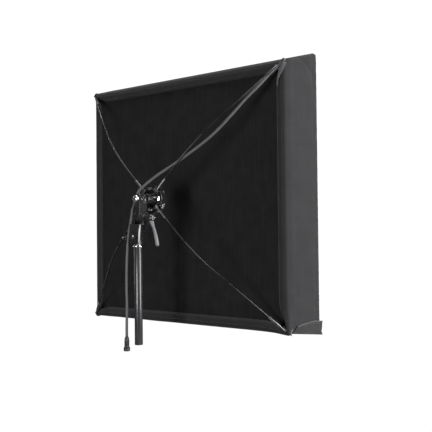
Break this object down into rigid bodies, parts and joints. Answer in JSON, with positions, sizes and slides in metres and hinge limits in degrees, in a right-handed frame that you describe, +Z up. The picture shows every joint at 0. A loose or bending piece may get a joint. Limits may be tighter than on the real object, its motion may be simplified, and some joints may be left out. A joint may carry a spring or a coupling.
{
  "type": "studio softbox",
  "caption": "Square fabric softbox with a flexible light panel, held from behind by four folding rods on a tilt head that clamps on a stand's top tube.",
  "frame": {"origin": "centre of the stand tube's lower end", "axes": "+Z up the tube, the light faces -Y, +X to the left as seen from behind"},
  "size_m": [0.6672, 0.2885, 0.697],
  "materials": {
    "stand_metal": "gloss",
    "black_plastic": "satin",
    "chrome": "polished",
    "steel": "brushed",
    "brass": "machined",
    "black_casting": "gloss",
    "rod_steel": "satin",
    "sleeve_metal": "satin",
    "box_cloth": "woven",
    "board": "matte",
    "silver_lining": "reflective",
    "touch_tape": "pile",
    "white_cloth": "woven",
    "panel_cloth": "woven",
    "led_board": "satin",
    "led_yellow": "gloss",
    "lead_sheath": "satin"
  },
  "bodies": {
    "stand": {"stand_tube": "stand_metal", "tube_plug": "black_plastic", "tube_collar": "chrome", "spigot": "steel"},
    "receiver": {"receiver_body": "black_casting", "socket_bush": "brass", "socket_screw": "chrome", "pivot_bolt": "steel", "friction_washers": "steel", "lead_lower": "lead_sheath", "lead_plug": "black_plastic", "lead_nut": "black_plastic"},
    "lever": {"tilt_lever": "black_casting", "lever_screw": "chrome", "lever_spring": "steel"},
    "knob": {"clamp_knob": "black_plastic", "clamp_screw": "chrome", "clamp_pad": "brass"},
    "head": {"head_block": "black_casting", "block_screws": "chrome", "spindle": "steel", "spindle_cap": "chrome", "hub_neck": "black_casting", "hub_disc": "black_casting", "hub_cover": "black_plastic", "cover_screws": "chrome", "rod_brackets": "black_casting", "rod_clips": "chrome", "hinge_pins": "steel", "wall_top": "box_cloth", "wall_right": "box_cloth", "wall_bottom": "box_cloth", "wall_left": "box_cloth", "wall_boards": "board", "wall_linings": "silver_lining", "back_flange": "box_cloth", "corner_pockets": "black_plastic", "front_hem": "box_cloth", "front_tape": "touch_tape", "panel_cloth": "panel_cloth", "led_mat": "led_board", "led_emitters": "led_yellow", "lead_upper": "lead_sheath", "lead_gland": "black_plastic"},
    "diffuser": {"diffuser": "white_cloth", "diffuser_tape": "touch_tape"},
    "flap": {"corner_flap": "box_cloth"},
    "rod_upper_left": {"rod_upper_left": "rod_steel", "sleeve_upper_left": "sleeve_metal", "ferrule_upper_left": "sleeve_metal"},
    "rod_upper_right": {"rod_upper_right": "rod_steel", "sleeve_upper_right": "sleeve_metal", "ferrule_upper_right": "sleeve_metal"},
    "rod_lower_right": {"rod_lower_right": "rod_steel", "sleeve_lower_right": "sleeve_metal", "ferrule_lower_right": "sleeve_metal"},
    "rod_lower_left": {"rod_lower_left": "rod_steel", "sleeve_lower_left": "sleeve_metal", "ferrule_lower_left": "sleeve_metal"}
  },
  "joints": [
    {"name": "pan", "type": "hinge", "parent": "stand", "child": "receiver", "pos_m": [0, 0, 0.25], "axis": [0, 0, 1], "continuous": true},
    {"name": "tilt", "type": "hinge", "parent": "receiver", "child": "head", "pos_m": [0, -0.01, 0.295], "axis": [1, 0, 0], "range_deg": [-85, 20]},
    {"name": "lever_turn", "type": "hinge", "parent": "receiver", "child": "lever", "pos_m": [0, -0.01, 0.295], "axis": [1, 0, 0], "range_deg": [-20, 100]},
    {"name": "knob_turn", "type": "hinge", "parent": "receiver", "child": "knob", "pos_m": [0.03, 0, 0.249], "axis": [1, 0, 0], "continuous": true},
    {"name": "fold_upper_left", "type": "hinge", "parent": "head", "child": "rod_upper_left", "pos_m": [0.01838, -0.044, 0.35939], "axis": [-0.7071, 0, 0.7071], "range_deg": [0, 60]},
    {"name": "fold_upper_right", "type": "hinge", "parent": "head", "child": "rod_upper_right", "pos_m": [-0.01838, -0.044, 0.35939], "axis": [-0.7071, 0, -0.7071], "range_deg": [0, 60]},
    {"name": "fold_lower_right", "type": "hinge", "parent": "head", "child": "rod_lower_right", "pos_m": [-0.01838, -0.044, 0.32261], "axis": [0.7071, 0, -0.7071], "range_deg": [0, 27]},
    {"name": "fold_lower_left", "type": "hinge", "parent": "head", "child": "rod_lower_left", "pos_m": [0.01838, -0.044, 0.32261], "axis": [0.7071, 0, 0.7071], "range_deg": [0, 60]},
    {"name": "diffuser_pull", "type": "slide", "parent": "head", "child": "diffuser", "axis": [0, -1, 0], "range_m": [0, 0.15]},
    {"name": "flap_open", "type": "hinge", "parent": "head", "child": "flap", "pos_m": [-0.3102, -0.158, 0.031], "axis": [-0.2053, -0.9713, -0.1202], "range_deg": [0, 100]}
  ]
}
